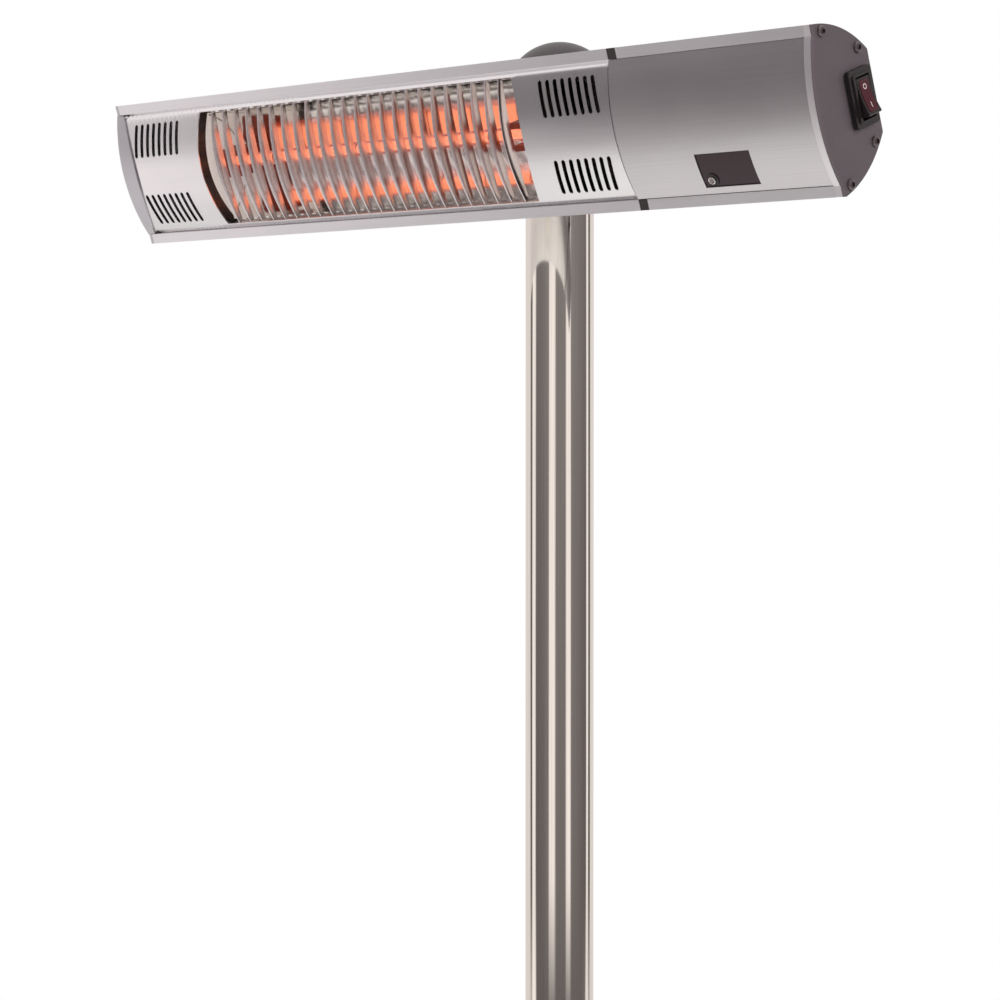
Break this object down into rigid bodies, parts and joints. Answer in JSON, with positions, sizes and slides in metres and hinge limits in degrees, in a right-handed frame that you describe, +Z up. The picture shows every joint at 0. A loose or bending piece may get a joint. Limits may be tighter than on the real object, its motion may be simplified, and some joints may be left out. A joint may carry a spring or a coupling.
{
  "type": "freestanding heater",
  "caption": "Freestanding infrared heater: a long barrel-shaped lamp head with a slatted front, tilting on the ball-shaped top of a round column, on a weighted round base.",
  "frame": {"origin": "middle of the base's underside, on the column's axis and on the floor", "axes": "+Z up along the column, +X along the head towards its switch end, -Y towards the front"},
  "size_m": [0.6685, 0.48, 2.0613],
  "materials": {
    "reflector_housing": "satin anodised",
    "control_housing": "satin anodised",
    "housing_divider": "moulded",
    "divider_pins": "zinc plated",
    "front_panel": "brushed",
    "grille_slats": "polished",
    "grille_rails": "plain",
    "reflector_trough": "mirror polished",
    "trough_end_plates": "bright",
    "lamp_tube": "clear quartz, glowing",
    "lamp_filament": "glowing tungsten",
    "lamp_end_caps": "steatite",
    "lamp_holders": "brown steatite",
    "left_end_cap": "satin anodised",
    "right_end_cap": "satin dark grey enamel",
    "right_end_frame": "bright anodised",
    "end_cap_screws": "blackened",
    "control_cover": "brushed",
    "indicator_window": "smoked",
    "indicator_lens": "clear dome in a bright bezel",
    "switch_housing": "moulded",
    "switch_gasket": "moulded",
    "switch_terminals": "tinned",
    "switch_rocker": "translucent red with O and I marks",
    "control_board": "lacquered",
    "board_components": "moulded",
    "board_pillars": "turned",
    "terminal_block": "unglazed",
    "tip_over_switch": "moulded",
    "cable_gland": "moulded",
    "gland_nut": "moulded",
    "lamp_leads": "glass-fibre sleeve",
    "tilt_arm": "black enamel",
    "arm_backing_plate": "zinc plated",
    "arm_screws": "zinc plated",
    "friction_washers": "fibre",
    "pivot_bolt": "zinc plated",
    "pivot_washer": "zinc plated",
    "tilt_knob": "moulded",
    "knob_insert": "turned",
    "column_head": "textured dark grey enamel",
    "column_head_screws": "zinc plated",
    "upper_tube": "brushed along the tube",
    "lower_tube": "brushed along the tube",
    "joining_sleeve": "zinc plated",
    "sleeve_screws": "zinc plated",
    "base_flange": "black enamel",
    "base_collar": "spun and brushed",
    "base_cover": "brushed in circles",
    "base_weight": "painted",
    "base_mat": "moulded",
    "base_bolts": "zinc plated"
  },
  "bodies": {
    "stand": {"column_head": "column_head", "column_head_screws": "column_head_screws", "friction_washers": "friction_washers", "pivot_bolt": "pivot_bolt", "pivot_washer": "pivot_washer", "upper_tube": "upper_tube", "lower_tube": "lower_tube", "joining_sleeve": "joining_sleeve", "sleeve_screws": "sleeve_screws", "base_flange": "base_flange", "base_collar": "base_collar", "base_cover": "base_cover", "base_weight": "base_weight", "base_mat": "base_mat", "base_bolts": "base_bolts"},
    "head": {"reflector_housing": "reflector_housing", "control_housing": "control_housing", "housing_divider": "housing_divider", "divider_pins": "divider_pins", "front_panel": "front_panel", "grille_slats": "grille_slats", "grille_rails": "grille_rails", "reflector_trough": "reflector_trough", "trough_end_plates": "trough_end_plates", "lamp_tube": "lamp_tube", "lamp_filament": "lamp_filament", "lamp_end_caps": "lamp_end_caps", "lamp_holders": "lamp_holders", "left_end_cap": "left_end_cap", "right_end_cap": "right_end_cap", "right_end_frame": "right_end_frame", "end_cap_screws": "end_cap_screws", "control_cover": "control_cover", "indicator_window": "indicator_window", "indicator_lens": "indicator_lens", "switch_housing": "switch_housing", "switch_gasket": "switch_gasket", "switch_terminals": "switch_terminals", "control_board": "control_board", "board_components": "board_components", "board_pillars": "board_pillars", "terminal_block": "terminal_block", "tip_over_switch": "tip_over_switch", "cable_gland": "cable_gland", "gland_nut": "gland_nut", "lamp_leads": "lamp_leads", "tilt_arm": "tilt_arm", "arm_backing_plate": "arm_backing_plate", "arm_screws": "arm_screws"},
    "knob": {"tilt_knob": "tilt_knob", "knob_insert": "knob_insert"},
    "rocker": {"switch_rocker": "switch_rocker"}
  },
  "joints": [
    {"name": "head_tilt", "type": "hinge", "parent": "stand", "child": "head", "pos_m": [0, 0, 2.02], "axis": [1, 0, 0], "range_deg": [-19.5, 25.5]},
    {"name": "knob_turn", "type": "hinge", "parent": "stand", "child": "knob", "pos_m": [-0.045, 0, 2.02], "axis": [-1, 0, 0], "range_deg": [0, 360]},
    {"name": "switch_rock", "type": "hinge", "parent": "head", "child": "rocker", "pos_m": [0.331, -0.09332, 1.98695], "axis": [0, 0.9426, 0.3338], "range_deg": [0, 26]}
  ]
}
